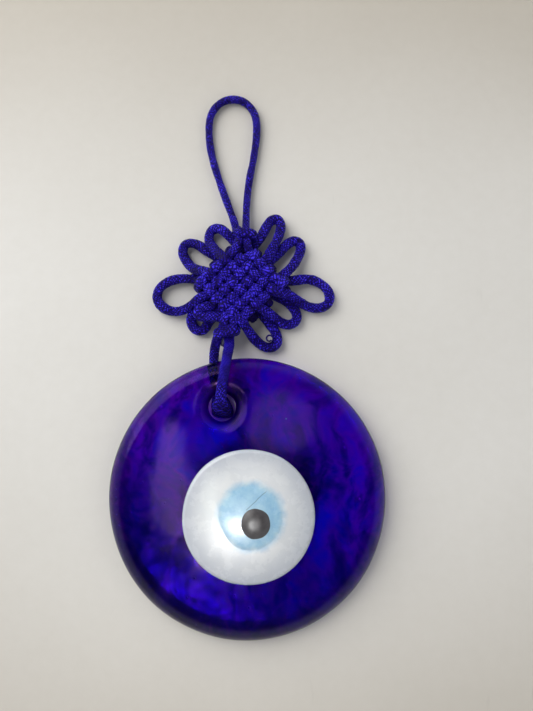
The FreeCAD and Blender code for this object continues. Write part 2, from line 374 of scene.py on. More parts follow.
def satin_cord(name, hole_shade_at=None, woven=False):
    """Braided satin: plaits of fine fibres, with painted sheen on their crowns and painted shade in
    their grooves. For the tether, the point given lies inside the glass's hole, and near it the cord
    is darker, painted shade; away from there it is pulled taut and its fibres run lengthwise, in
    lines of painted sheen. Woven cord has painted shade in the hollows of the knot."""
    material, tree = new_material(name)
    uv = add(tree, "UVMap", uv_map="braid").outputs[0]
    round_it, along = part_of(tree, uv, 0), part_of(tree, uv, 1)
    crown, fibre, chance = braid_nodes(tree, round_it, along)
    place = add(tree, "TexCoord").outputs["Object"]
    fuzz = cloud(tree, place, 1900, 2.0, 0.6)
    patch = cloud(tree, place, 230, 3.0, 0.55)
    height = calc(tree, "MULTIPLY_ADD", fibre, 0.14, crown)
    height = calc(tree, "MULTIPLY_ADD", fuzz, 0.7, height)
    # Painted sheen: the plaits' crowns are lighter, some plaits more than others, with faint fibre
    # lines.
    shine = calc(tree, "MULTIPLY", calc(tree, "POWER", crown, 2.2),
                 calc(tree, "MULTIPLY_ADD", chance, 0.4, 0.42))
    shine = calc(tree, "MULTIPLY_ADD", fibre, 0.07, shine)
    # The fine fuzz adds painted glints and the broad patches painted sheen.
    light = calc(tree, "MULTIPLY_ADD", fuzz, 0.6, calc(tree, "SUBTRACT", shine, 0.33))
    light = calc(tree, "MULTIPLY_ADD", patch, 0.9, calc(tree, "SUBTRACT", light, 0.42))
    if hole_shade_at is not None:
        light = hole_shade_and_taut_sheen(tree, light, place, hole_shade_at, round_it, fuzz, patch)
    if woven:
        light = knot_hollow_shade(tree, light, place)
    # The base colour is this painted light: deep navy for painted shade up to bright blue for
    # painted sheen.
    colour = ramp(tree, light, (0.05, (0.0012, 0.0005, 0.022)), (0.28, (0.0045, 0.0018, 0.11)),
                  (0.5, (0.012, 0.004, 0.38)), (0.78, (0.075, 0.05, 1.0)))
    return plain_surface(material, {
        "Base Color": colour, "Roughness": span(tree, fuzz, 0.35, 0.65, 0.3, 0.6),
        "Normal": bumped(tree, height, 1.0, 0.26), "Specular IOR Level": 0.5,
        "Specular Tint": (0.16, 0.08, 1.0, 1)})


KNOT_MIDDLE = Vector((-2.5, 45.2, 4.2))

cord_material = satin_cord("satin_cord")
weave_material = satin_cord("satin_cord_woven", woven=True)
tether_material = satin_cord("satin_cord_hole_shade", hole_shade_at=(-8.3, 2.4, 3.5))


def dress(obj, body, slot, material, *nodes):
    """Give a finished mesh its material and body, and hide the nodes that it stands for; slot is
    not used.
    """
    obj.data.materials.append(material)
    if nodes:
        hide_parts(*nodes)
    if body:
        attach(obj, body)


# ---------------------------------------------------------------- free cords

LOOP_DIAMETER = 2.5
TETHER_DIAMETER = 3.2
loop_route = [
    (-4.3, 63.4, 4.6), (-4.3, 65.8, 3.4), (-7.1, 73.7, 1.8), (-10.6, 83.6, 1.3),
    (-13.5, 93.2, 1.3), (-14.7, 102.4, 1.3), (-14.0, 109.8, 1.3), (-9.3, 114.9, 1.3),
    (-2.5, 114.9, 1.3), (2.2, 109.8, 1.3), (2.9, 102.4, 1.3), (1.7, 92.4, 1.3),
    (-0.2, 82.4, 1.3), (-0.9, 73.4, 1.8), (-0.9, 65.8, 3.4), (-0.9, 63.4, 4.6)]
tether_route = [
    (-6.4, 26.6, 5.0), (-6.0, 24.8, 5.0), (-6.3, 21.3, 8.9), (-6.9, 16.4, 11.4),
    (-7.8, 10.6, 12.1), (-8.4, 6.0, 10.6), (-8.2, 3.0, 7.0), (-8.1, 1.7, 3.6),
    (-8.5, 2.5, 1.3), (-10.2, 8.6, 1.2), (-11.5, 15.3, 1.2), (-11.6, 20.8, 1.8),
    (-10.7, 24.8, 5.0), (-9.8, 26.8, 5.0)]


def make_hanging_loop():
    line = smooth_path(loop_route)
    obj = sweep("hanging_loop_cord", line, LOOP_DIAMETER, 2.2, seed=1, roll=14)
    dress(obj, None, "satin_cord", cord_material, "hanging_loop")
    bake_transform(obj)


def tether_swell(line):
    """The strand bunches up and fills most of the hole where it folds through it."""
    from_hole = np.hypot(line[:, 1] - 2.0 * MM, 0.7 * (line[:, 2] - 3.0 * MM)) / (6.5 * MM)
    return 2.25 - 1.25 * np.clip(from_hole, 0, 1) ** 3


def make_tether():
    line = smooth_path(tether_route)
    obj = sweep("tether_cord", line, TETHER_DIAMETER, 1.8, side=(1, 0, 0), seed=2, roll=8,
                swell=tether_swell)
    dress(obj, None, "satin_cord", tether_material, "tether_loop")
    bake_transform(obj)


make_hanging_loop()
make_tether()


# ---------------------------------------------------------------- the knot

PITCH = 3.65              # from one lane of the weave to the next
LANES = 6
MIDDLE_LANE = (LANES - 1) / 2
LAYER = 2.02              # height of each layer's middle above or below the knot's middle
WAVE = 1.03               # how far a strand rises and falls as it weaves
TURN_REACH = 11.75        # a turned-back strand's middle, from the knot's middle
SLACK = 0.5               # how far a strand may lie beside its lane
STRAND = (3.3, 2.05)      # width and thickness of a strand in the weave
EAR = (3.3, 2.5)          # the same of an ear, and then of a lead into a wrap
LEAD = (2.9, 2.2)
TURN_START = 2.45 * PITCH  # where a lane starts to turn back, from the knot's middle
TUCK = 0.25 * PITCH        # how far a lane runs on under the strand that hides its end
ALONG = {"v": Vector((1, 1, 0)).normalized(), "h": Vector((-1, 1, 0)).normalized()}
ACROSS = {"v": Vector((1, -1, 0)).normalized(), "h": Vector((-1, -1, 0)).normalized()}


def smoothstep(x):
    x = min(max(x, 0.0), 1.0)
    return x * x * (3 - 2 * x)


def settled(point):
    """The lanes that rise to the upper right are pulled over at their far ends."""
    offset = point - KNOT_MIDDLE
    far = smoothstep((offset.dot(ALONG["v"]) - 1.5 * PITCH) / (1.6 * PITCH))
    room = 1 - smoothstep((offset.dot(ACROSS["v"]) - 1.2 * PITCH) / (2.2 * PITCH))
    spot = offset / 7.5
    slack = Vector((noise.noise(spot + Vector((3, 1, 2))), noise.noise(spot + Vector((9, 4, 6))), 0))
    return point + ACROSS["v"] * 0.85 * PITCH * far * room + slack * SLACK


def lane_point(kind, lane, s, layer):
    """A point on a lane, s from the lane's middle, on the front (1) or back (-1) layer."""
    crossing = MIDDLE_LANE - s / PITCH     # the lanes that it crosses count from its upper end
    rise = math.cos(math.pi * (lane + crossing)) * (-1 if kind == "v" else 1)
    flat = math.copysign(abs(rise) ** 0.8, rise)
    place = KNOT_MIDDLE + ALONG[kind] * s + ACROSS[kind] * (lane - MIDDLE_LANE) * PITCH
    place = settled(place)
    place.z += layer * (LAYER + WAVE * flat)
    place.z += 0.2 * noise.noise(Vector((place.x / 5, place.y / 5, layer * 3)))
    return place


def ear_side(lane):
    """1 if the lane's ear end is at the upper side, as in every other lane, -1 if at the lower."""
    return 1 if lane % 2 == 0 else -1


def join_at(kind):
    """How far from the middle a lane meets its ear: where it lies under another strand."""
    return (2.5 if kind == "v" else 1.5) * PITCH


# The lane and layer that leave the weave early, for the top wrap, and how far from the middle
joins = {("v", 0, 1): 0.5 * PITCH}


def make_lane(kind, lane):
    """One lane: in along the front, round its turned-back end, and out along the back."""
    side = ear_side(lane)
    turn_from = -side * TURN_START
    ends = {layer: side * (joins.get((kind, lane, layer), join_at(kind)) + TUCK)
            for layer in (1, -1)}
    front = [lane_point(kind, lane, s, 1) for s in np.linspace(ends[1], turn_from, 48)]
    back = [lane_point(kind, lane, s, -1) for s in np.linspace(turn_from, ends[-1], 48)]
    top, bottom = front[-1], back[0]
    middle = (top + bottom) / 2
    radius = (top.z - bottom.z) / 2
    reach = TURN_REACH - TURN_START
    outward = -side * ALONG[kind]
    turn = [middle + outward * reach * math.cos(a) + Vector((0, 0, radius * math.sin(a)))
            for a in np.linspace(math.pi / 2, -math.pi / 2, 15)[1:-1]]
    line = np.array([p * MM for p in front + turn + back])
    seed = 20 + lane + (10 if kind == "h" else 0)
    obj = sweep(f"weave_{kind}{lane}", line, *STRAND, side=ACROSS[kind], seed=seed, roll=7,
                swell=weave_swell)
    nodes = ["knot_body"] if (kind, lane) == ("v", 0) else []
    dress(obj, "knot", "satin_cord", weave_material, *nodes)


def weave_swell(line):
    """Strands are full where they lie on top and squeezed where they pass beneath."""
    height = np.abs(line[:, 2] / MM - KNOT_MIDDLE.z)
    return 0.9 + 0.17 * np.clip((height - LAYER + WAVE) / (2 * WAVE), 0, 1)


def make_knot_body():
    for kind in "vh":
        for lane in range(LANES):
            make_lane(kind, lane)


# Each ear: the lane it leaves from at the back, its own points, the lane it enters at the front
ears = {
    "ear_upper_left_inner": (("h", 0), [
        (-6.9, 62.8, 3.4), (-10.0, 65.8, 2.6), (-13.4, 65.2, 1.7), (-14.0, 61.3, 1.9),
        (-12.4, 58.3, 3.4)], ("h", 2)),
    "ear_upper_left_outer": (("h", 2), [
        (-14.9, 57.9, 2.4), (-18.2, 60.3, 2.0), (-22.0, 60.6, 1.7), (-23.2, 57.2, 1.7),
        (-21.2, 53.3, 2.0), (-18.4, 50.3, 3.8)], ("h", 4)),
    "ear_left": (("h", 4), [
        (-18.6, 47.4, 2.2), (-23.0, 47.9, 1.9), (-27.6, 46.9, 1.7), (-31.0, 44.2, 1.7),
        (-31.5, 39.9, 1.7), (-28.2, 36.7, 1.7), (-23.7, 35.9, 1.8), (-19.5, 37.7, 3.0),
        (-16.4, 40.0, 4.6)], ("v", 1)),
    "ear_lower_left_outer": (("v", 1), [
        (-17.1, 38.0, 1.9), (-19.3, 35.4, 1.7), (-19.5, 31.9, 1.7), (-17.5, 29.4, 1.7),
        (-14.9, 29.7, 1.7), (-13.6, 32.6, 1.7)], ("v", 3)),
    "ear_lower_left_inner": (("v", 3), [
        (-13.2, 37.2, 5.4), (-16.4, 36.2, 5.0), (-17.2, 34.6, 4.9), (-15.2, 33.6, 4.9),
        (-11.0, 34.0, 5.4)], ("v", 5)),
    "ear_upper_right_inner": (("v", 0), [
        (3.8, 61.3, 3.0), (5.8, 65.4, 2.4), (7.4, 68.6, 1.8), (10.1, 69.4, 1.8),
        (11.5, 66.9, 1.9), (10.7, 63.2, 2.6), (9.0, 59.0, 4.2)], ("v", 2)),
    "ear_upper_right_outer": (("v", 2), [
        (10.6, 56.6, 2.3), (13.2, 60.0, 1.9), (15.8, 61.6, 1.7), (18.2, 60.3, 1.7),
        (18.0, 57.2, 1.9), (16.5, 54.0, 2.6), (14.8, 51.0, 3.8)], ("v", 4)),
    "ear_right": (("v", 4), [
        (15.8, 46.9, 2.2), (20.2, 47.8, 1.8), (24.6, 46.4, 1.7), (27.8, 43.3, 1.7),
        (27.9, 39.2, 1.7), (24.8, 37.2, 1.7), (20.6, 37.6, 1.8), (16.8, 39.6, 3.0),
        (13.8, 41.6, 4.6)], ("h", 1)),
    "ear_lower_right_outer": (("h", 1), [
        (12.8, 40.1, 2.2), (16.0, 37.0, 1.9), (16.9, 33.4, 1.7), (14.4, 31.4, 1.7),
        (11.0, 32.0, 2.2), (7.4, 34.8, 4.4)], ("h", 3)),
    "ear_lower_right_inner": (("h", 3), [
        (6.4, 32.8, 2.0), (9.2, 29.4, 1.7), (10.2, 25.9, 1.7), (8.4, 23.7, 1.7),
        (5.2, 23.9, 1.7), (1.8, 26.8, 1.8)], ("h", 5)),
}


def way_out(lane_name, layer):
    """The last stretch of a lane, from where its ear takes over to the knot's edge."""
    kind, lane = lane_name
    side = ear_side(lane)
    return [lane_point(kind, lane, side * s, layer)
            for s in np.arange(join_at(kind), 2.9 * PITCH, PITCH / 4)]


def make_ears():
    for number, (name, (leaves, own, enters)) in enumerate(ears.items()):
        route = way_out(leaves, -1) + [Vector(p) for p in own] + way_out(enters, 1)[::-1]
        obj = sweep(name + "_cord", smooth_path(route), *EAR, seed=40 + number, roll=11)
        dress(obj, "knot", "satin_cord", cord_material, name)


def ring_route(middle, half_width, half_height, slant):
    """A turn of cord round the Y axis, a little skewed, whose ends overlap."""
    angles = np.linspace(-0.6, 2 * math.pi + 0.2, 60)
    return np.array([Vector((
        middle[0] + half_width * math.cos(a), middle[1] + slant * math.cos(a),
        middle[2] + half_height * math.sin(a))) * MM for a in angles])


def make_wraps():
    top = ring_route((-1.1, 62.3, 5.1), 3.0, 2.3, -0.35)
    obj = sweep("top_wrap", top, 3.1, 2.2, side=(0, 1, 0), seed=60, roll=8)
    dress(obj, "knot", "satin_cord", cord_material, "top_wrap_knot")
    bottom = ring_route((-7.0, 28.5, 4.9), 3.3, 1.9, 0.8)
    obj = sweep("bottom_wrap", bottom, 3.8, 2.5, side=(0, 1, 0), seed=61, roll=10)
    dress(obj, "knot", "satin_cord", cord_material, "bottom_wrap_knot")


# The strands that lead from the weave into the wraps
leads = {
    "lead_top_left": [lane_point("v", 0, s * PITCH, 1) for s in (0.5, 0.75, 1.0, 1.25, 1.5)] + [
        (-3.9, 57.6, 7.1), (-2.9, 60.0, 6.3), (-2.9, 62.4, 5.0), (-3.9, 64.8, 4.2)],
    "lead_top_right": [lane_point("h", 0, s * PITCH, 1) for s in (1.5, 1.75, 2.0)] + [
        (-0.1, 57.6, 7.0), (-0.5, 60.0, 6.3), (-0.7, 62.4, 5.0), (-0.9, 64.8, 4.2)],
    "lead_top_behind": [(-3.0, 55.0, 3.2), (-2.2, 58.0, 3.0), (-1.9, 61.0, 3.6), (-2.0, 63.4, 4.2)],
    "lead_bottom_left": [
        (-6.0, 37.4, 4.2), (-7.0, 35.0, 5.8), (-7.7, 32.4, 6.6), (-8.2, 29.8, 5.8),
        (-9.6, 26.8, 5.0)],
    "lead_bottom_right": [
        (-3.0, 36.8, 4.2), (-4.0, 34.4, 5.8), (-4.6, 32.0, 6.6), (-5.2, 29.8, 5.8),
        (-6.0, 26.8, 5.0)],
}

THREAD = 0.5              # width of the thread that has pulled out


def make_stray_thread():
    """A fibre that has pulled out of the lower right ear and curls up beside it."""
    middle = Vector((7.2, 26.6, 3.0))
    curl = [middle + Vector((math.cos(a), math.sin(a), 0.08 * a)) * (1.25 - 0.07 * a)
            for a in np.linspace(-0.6, 5.6, 16)]
    route = [Vector((9.6, 24.6, 2.6)), Vector((9.2, 25.2, 2.9))] + curl
    obj = sweep("stray_thread", smooth_path(route), THREAD, THREAD, seed=80)
    dress(obj, "knot", "satin_cord", cord_material)


def make_leads():
    for number, (name, route) in enumerate(leads.items()):
        obj = sweep(name, smooth_path(route), *LEAD, seed=70 + number, roll=8)
        dress(obj, "knot", "satin_cord", cord_material)


make_knot_body()
make_ears()
make_wraps()
make_leads()
make_stray_thread()


# ---------------------------------------------------------------- the glass

TILT = math.radians(2.1)
RIM_HEIGHT = 2.4

disc_low, disc_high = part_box("blue_glass_disc")
DISC_RADIUS = (disc_high.x - disc_low.x) / 2 / MM
DISC_Y = ((disc_low + disc_high) / 2).y + RIM_HEIGHT * MM * math.sin(TILT)
BACK_RADIUS = 42.8
glass_to_world = (Matrix.Translation((0, DISC_Y, BACK_RADIUS * MM * math.sin(TILT)))
                  @ Matrix.Rotation(TILT, 4, "X"))

SHOULDER = (40.0, 6.3)
DISC_TOP = 8.6
HOLE = (-8.3, 28.3)
HOLE_RADIUS = 4.6
HOLE_FLARE = 3.6
BACK_FLARE = 1.4
LIP = 1.5                 # how far past its flare the hole's mouth is still rounded
SKIN = 0.12               # how much the poured surface waves up and down
DISC_SIDES = 288
PEBBLE_SIDES = 160
DROP_SIDES = 128
WHITE = dict(x=0.6, y=-5.4, radius=20.6, edge=9.3, top=11.3)
IRIS = dict(x=1.4, y=-5.0, radius=10.6, top=11.6)
PUPIL = dict(x=2.9, y=-7.0, radius=4.5, top=12.7)
IRIS_FALL = 2.4           # power by which the iris falls away from its crown
BUBBLES = 46


def dome_height(r, radius, edge, top):
    """Height of a spherical cap at distance r from its axis."""
    rise = top - edge
    sphere = (radius ** 2 + rise ** 2) / (2 * rise)
    return top - sphere + np.sqrt(np.maximum(sphere ** 2 - r ** 2, 0))


def arc_between(a, b, bulge, count):
    """Points from a to b on a quarter-like arc that swells by bulge, without the first."""
    t = np.linspace(0, 1, count + 1)[1:]
    a, b = np.array(a, float), np.array(b, float)
    normal = np.array([b[1] - a[1], a[0] - b[0]])
    normal /= np.linalg.norm(normal)
    return [tuple(a + (b - a) * k - normal * bulge * 4 * k * (1 - k)) for k in t]


def ripple(x, y, scale, size, seed):
    """A smooth, repeatable unevenness."""
    return noise.noise(Vector((x / scale, y / scale, seed))) * size


def from_glass(points):
    """Points of the glass's own frame, in millimetres, put where the glass lies."""
    return [glass_to_world @ (Vector(p) * MM) for p in points]


def ring_surface(name, rings, closed):
    """A smooth mesh from rings of points. closed joins the last ring to the first; otherwise the
    two end rings are each closed at their middle."""
    count = len(rings[0])
    points = [p for ring in rings for p in ring]
    faces = []
    pairs = len(rings) if closed else len(rings) - 1
    for k in range(pairs):
        here = k * count
        there = ((k + 1) % len(rings)) * count
        for i in range(count):
            j = (i + 1) % count
            faces.append((here + i, here + j, there + j, there + i))
    if not closed:
        for ring, flip in ((0, True), (len(rings) - 1, False)):
            middle = sum((Vector(p) for p in rings[ring]), Vector()) / count
            points.append(tuple(middle))
            hub = len(points) - 1
            for i in range(count):
                a, b = ring * count + i, ring * count + (i + 1) % count
                faces.append((b, a, hub) if flip else (a, b, hub))
    mesh = bpy.data.meshes.new(name)
    mesh.from_pydata([tuple(p) for p in from_glass(points)], [], faces)
    mesh.polygons.foreach_set("use_smooth", [True] * len(faces))
    work = bmesh.new()
    work.from_mesh(mesh)
    bmesh.ops.recalc_face_normals(work, faces=work.faces)
    work.to_mesh(mesh)
    work.free()
    return linked(name, mesh)


def disc_surface_height(x, y):
    """Height of the disc's upper side, with the rounded mouth of its hole."""
    r = math.hypot(x, y)
    plain = float(dome_height(r, *SHOULDER, DISC_TOP))
    plain += ripple(x, y, 19, SKIN, 3.0) + ripple(x, y, 7, SKIN / 10, 5.0)
    to_hole = math.hypot(x - HOLE[0], y - HOLE[1])
    depth = min(HOLE_RADIUS + HOLE_FLARE + LIP - to_hole, HOLE_FLARE + LIP)
    if depth <= 0:
        return plain
    inward = depth / (HOLE_FLARE + LIP)
    return plain - HOLE_FLARE * (1 - math.sqrt(max(1 - inward ** 2, 0)))


def disc_rings():
    """Rings over the top from the hole's mouth to the rim, back underneath and up the hole."""
    angles = np.linspace(0, 2 * np.pi, DISC_SIDES, endpoint=False)
    hole = np.array(HOLE)
    ways = np.stack([np.cos(angles), np.sin(angles)], 1)
    toward = ways @ hole

    def circle(radius):
        """Where rays from the hole meet a circle round the disc's middle."""
        reach = -toward + np.sqrt(toward ** 2 - hole @ hole + radius ** 2)
        return hole + ways * reach[:, None]

    def between(inner, outer, t):
        return inner * (1 - t) + outer * t

    mouth = hole + ways * HOLE_RADIUS
    shoulder = circle(SHOULDER[0])
    rings = []
    for t in np.concatenate([np.linspace(0, 0.22, 26), np.linspace(0.22, 1, 64)[1:]]):
        flat = between(mouth, shoulder, t)
        rings.append([(x, y, disc_surface_height(x, y)) for x, y in flat])
    rim = (DISC_RADIUS, RIM_HEIGHT)
    outer = arc_between(SHOULDER, rim, 0.62, 12) + arc_between(rim, (BACK_RADIUS, 0), 0.25, 6)
    for r, z in outer:
        share = (r - SHOULDER[0]) / (rim[0] - SHOULDER[0])
        ring = []
        for x, y in circle(r):
            wobble = 1 + ripple(x, y, 22, 0.004, 9.0) * min(share * 2, 1)
            lift = ripple(x, y, 19, SKIN, 3.0) * z / SHOULDER[1]
            ring.append((x * wobble, y * wobble, z + lift * min(z, 1)))
        rings.append(ring)
    back_mouth = hole + ways * (HOLE_RADIUS + BACK_FLARE)
    back_edge = circle(BACK_RADIUS)
    for t in np.linspace(0, 1, 40)[1:]:
        flat = between(back_edge, back_mouth, t)
        rings.append([(x, y, 0.05 * abs(noise.noise(Vector((x / 4, y / 4, 1))))) for x, y in flat])
    for turn in np.linspace(0, math.pi / 2, 6)[1:]:
        r = HOLE_RADIUS + BACK_FLARE * (1 - math.sin(turn))
        z = BACK_FLARE * (1 - math.cos(turn))
        rings.append([(x, y, z) for x, y in hole + ways * r])
    top = [p[2] for p in rings[0]]
    for t in np.linspace(0, 1, 8)[1:-1]:
        rings.append([(x, y, BACK_FLARE + (z - BACK_FLARE) * t) for (x, y), z in zip(mouth, top)])
    return rings


def pebble_rings(x, y, radius, edge, top, seat, roll, squareness, seed):
    """Rings of a poured puddle of glass from its seat, round its rolled edge, to its crown."""
    angles = np.linspace(0, 2 * np.pi, PEBBLE_SIDES, endpoint=False)

    def outline(a):
        slow = noise.noise(Vector((math.cos(a) * 1.3, math.sin(a) * 1.3, seed)))
        return 1 + squareness * math.cos(4 * (a - 0.6)) + 0.012 * slow

    side = edge - 1.2
    profile = [(radius - 3, seat), (radius - 1.2, seat), (radius - 0.2, side)]
    profile += [(radius - roll * (1 - math.cos(t)), side + 1.5 * math.sin(t))
                for t in np.linspace(0, math.pi / 2 * 0.94, 12)]
    inner, inner_z = profile[-1]
    for r in inner * np.linspace(1, 0.02, 46)[1:]:
        profile.append((r, float(dome_height(r, inner, inner_z, top))))
    rings = []
    for r, z in profile:
        ring = []
        for a in angles:
            reach = r * (1 + (outline(a) - 1) * (r / radius))
            px, py = x + reach * math.cos(a), y + reach * math.sin(a)
            ring.append((px, py, z + ripple(px, py, 9, 0.07, seed)))
        rings.append(ring)
    return rings


def white_height(x, y):
    """Height of the white glass, which the iris lies on."""
    inner = WHITE["radius"] - 1.6
    r = math.hypot(x - WHITE["x"], y - WHITE["y"])
    return float(dome_height(min(r, inner), inner, WHITE["edge"] + 0.3, WHITE["top"]))


def drop_rings(shape, floor_height, fall, wobble, seed, sunk):
    """Rings of a drop pressed onto another surface. fall is the power by which it falls away
    from its crown, and sunk is how far its edge lies under the surface."""
    angles = np.linspace(0, 2 * np.pi, DROP_SIDES, endpoint=False)
    rings = []
    crown = shape["top"] - floor_height(shape["x"], shape["y"])
    for share in [0.9, 1.0] + list(np.linspace(0.985, 0.02, 34)):
        ring = []
        under = not rings
        for a in angles:
            edge = shape["radius"] * (1 + wobble * noise.noise(
                Vector((math.cos(a) * 1.6, math.sin(a) * 1.6, seed))))
            x = shape["x"] + edge * share * math.cos(a)
            y = shape["y"] + edge * share * math.sin(a)
            z = floor_height(x, y) + ripple(x, y, 9, 0.07, 4.0)
            z += -0.5 if under else (crown + sunk) * (1 - share ** fall) - sunk
            ring.append((x, y, z))
        rings.append(ring)
    return rings


def iris_height(x, y):
    """Height of the iris, which the pupil lies on."""
    r = min(math.hypot(x - IRIS["x"], y - IRIS["y"]) / IRIS["radius"], 1)
    base = white_height(x, y)
    return base + (IRIS["top"] - white_height(IRIS["x"], IRIS["y"])) * (1 - r ** IRIS_FALL)


def local_place(tree, x=0.0, y=0.0):
    """Where a point is in the glass's own frame, in millimetres from a middle."""
    place = add(tree, "TexCoord").outputs["Object"]
    made = add(tree, "Mapping", {"Vector": place}, vector_type="TEXTURE")
    made.inputs["Location"].default_value = glass_to_world @ Vector((x * MM, y * MM, 0))
    made.inputs["Rotation"].default_value = (TILT, 0, 0)
    made.inputs["Scale"].default_value = (MM, MM, MM)
    return made.outputs[0]


def distance_from_middle(tree, place):
    flat = add(tree, "VectorMath", {0: place, 1: (1, 1, 0)}, operation="MULTIPLY").outputs[0]
    return add(tree, "VectorMath", {0: flat}, operation="LENGTH").outputs["Value"]


def swirled_tone(tree, place):
    """The tone of the poured glass and its streaks, which are stirred round each other."""
    stir = add(tree, "TexNoise", {"Vector": place, "Scale": 0.035, "Detail": 2.0})
    swirl = add(tree, "VectorMath", {0: stir.outputs["Color"], 1: (26, 26, 6)},
                operation="MULTIPLY").outputs[0]
    moved = add(tree, "VectorMath", {0: place, 1: swirl}, operation="ADD").outputs[0]
    broad = cloud(tree, moved, 0.045, 3.0, 0.55)
    streaks = cloud(tree, moved, 0.13, 4.5, 0.55, 1.1)
    threads = add(tree, "TexWave", {
        "Vector": moved, "Scale": 0.035, "Distortion": 9.0, "Detail": 4.0,
        "Detail Scale": 1.3, "Detail Roughness": 0.6}).outputs["Fac"]
    tone = calc(tree, "MULTIPLY_ADD", streaks, 0.55, calc(tree, "MULTIPLY", broad, 0.6))
    return lifted(tree, threads, 0.12, tone), streaks


def cobalt_glass():
    """Poured cobalt glass: clear, with violet and dark streaks that swirl through it. It is
    darker towards its lower left and at its rim, and round the hole it is darkened by painted shade.
    Near its rim and round the hole it lets almost no light through to the floor, a painted shadow."""
    material, tree = new_material("cobalt_glass")
    place = local_place(tree)
    tone, streaks = swirled_tone(tree, place)
    lower_left = calc(tree, "MULTIPLY_ADD", part_of(tree, place, 0), 0.35, part_of(tree, place, 1))
    low = span(tree, lower_left, -38.0, 8.0, 0.1, 0.0)
    rim = span(tree, distance_from_middle(tree, place), 37.5, 42.5, 0.0, 0.9)
    to_hole = distance_from_middle(tree, local_place(tree, *HOLE))
    mouth = span(tree, to_hole, 5.0, 9.5, 0.85, 0.0)
    rim_and_mouth = calc(tree, "MAXIMUM", rim, mouth)
    tint = ramp(tree, calc(tree, "SUBTRACT", tone, low),
                (0.30, (0.025, 0.0005, 0.14)), (0.42, (0.13, 0.001, 0.40)),
                (0.52, (0.50, 0.002, 0.66)), (0.66, (0.10, 0.003, 0.80)))
    tint = mixed(tree, calc(tree, "MULTIPLY", low, 6.0), tint, (0.04, 0.0005, 0.34))
    tint = mixed(tree, calc(tree, "MULTIPLY", rim, 0.6), tint, (0.02, 0.001, 0.22))
    # Painted shade round the hole's mouth.
    tint = mixed(tree, mouth, tint, (0.04, 0.0005, 0.13))
    height = calc(tree, "MULTIPLY_ADD", cloud(tree, place, 1.1, 2.0), 0.05,
                  cloud(tree, place, 0.12, 2.0))
    rough = calc(tree, "MULTIPLY_ADD", mouth, 0.3, span(tree, streaks, 0.35, 0.75, 0.08, 0.16))
    gloss = mixed(tree, rim_and_mouth, (0.4, 0.19, 0.55), (0.05, 0.015, 0.12))
    glass = add(tree, "BsdfPrincipled", {
        "Base Color": tint, "Roughness": rough, "Normal": bumped(tree, height, 0.2, 0.4),
        "Transmission Weight": 1.0, "IOR": span(tree, to_hole, 4.9, 6.2, 1.03, 1.5),
        "Specular Tint": gloss})
    shade = mixed(tree, 0.3, tint, (0, 0, 0.05))
    # Painted shadow: near the rim and round the hole almost no light passes through to the floor.
    through = add(tree, "BsdfTransparent", {"Color": mixed(tree, rim_and_mouth, shade, (0, 0, 0.01))})
    shadow = add(tree, "LightPath").outputs["Is Shadow Ray"]
    shader = add(tree, "MixShader", {0: shadow, 1: glass.outputs[0], 2: through.outputs[0]})
    volume = add(tree, "VolumeAbsorption", {"Color": (0.16, 0.0, 0.77, 1), "Density": 190.0})
    add(tree, "OutputMaterial", {"Surface": shader.outputs[0], "Volume": volume.outputs[0]})
    return material


def iris_scratch(tree, near):
    """A mask of the fine curved scratch that runs up and right from the pupil."""
    across, up = part_of(tree, near, 0), part_of(tree, near, 1)
    lean = calc(tree, "MULTIPLY_ADD", across, -0.92, calc(tree, "SUBTRACT", up, 3.4))
    curl = calc(tree, "MULTIPLY_ADD", cloud(tree, near, 0.6, 2.0), 0.9, lean)
    off = calc(tree, "ABSOLUTE", calc(tree, "SUBTRACT", curl, 0.4))
    start = span(tree, across, -1.6, -1.2)
    stop = span(tree, across, 4.4, 5.0, 1.0, 0.0)
    return calc(tree, "MULTIPLY", span(tree, off, 0.07, 0.2, 1.0, 0.0),
                calc(tree, "MULTIPLY", start, stop))


def eye_colour(tree):
    """Milky white that greys towards its edge, and a pale blue iris that fades into it."""
    place = local_place(tree, WHITE["x"], WHITE["y"])
    stain = cloud(tree, place, 0.2, 4.0, 0.6)
    base = ramp(tree, stain, (0.3, (0.73, 0.765, 0.81)), (0.7, (0.79, 0.815, 0.84)))
    edge = span(tree, distance_from_middle(tree, place), 12.5, 21.0)
    colour = mixed(tree, calc(tree, "MULTIPLY", edge, 0.6), base, (0.40, 0.44, 0.53))
    fleck = span(tree, cloud(tree, place, 1.9, 3.0, 0.7), 0.70, 0.78)
    colour = mixed(tree, calc(tree, "MULTIPLY", fleck, 0.35), colour, (0.30, 0.33, 0.42))
    near = local_place(tree, IRIS["x"], IRIS["y"])
    soft = cloud(tree, near, 0.28, 3.0, 0.6)
    away = calc(tree, "MULTIPLY_ADD", soft, 2.6, distance_from_middle(tree, near))
    inside = ramp(tree, soft, (0.32, (0.30, 0.56, 0.80)), (0.68, (0.44, 0.70, 0.88)))
    blue = span(tree, away, IRIS["radius"] - 0.9, IRIS["radius"] + 2.6, 1.0, 0.0)
    colour = mixed(tree, blue, colour, inside)
    scratch = calc(tree, "MULTIPLY", iris_scratch(tree, near), 0.7)
    return mixed(tree, scratch, colour, (0.12, 0.17, 0.26)), stain


def eye_glass(name):
    """Opal glass with a soft gloss, for the white and for the iris that is pressed into it."""
    material, tree = new_material(name)
    colour, stain = eye_colour(tree)
    return plain_surface(material, {
        "Base Color": colour, "Roughness": span(tree, stain, 0.3, 0.7, 0.22, 0.32),
        "Normal": bumped(tree, stain, 0.15, 0.3), "Subsurface Weight": 0.2,
        "Subsurface Radius": (0.9, 1.0, 1.2), "Subsurface Scale": MM,
        "Coat Weight": 0.35, "Coat Roughness": 0.12})


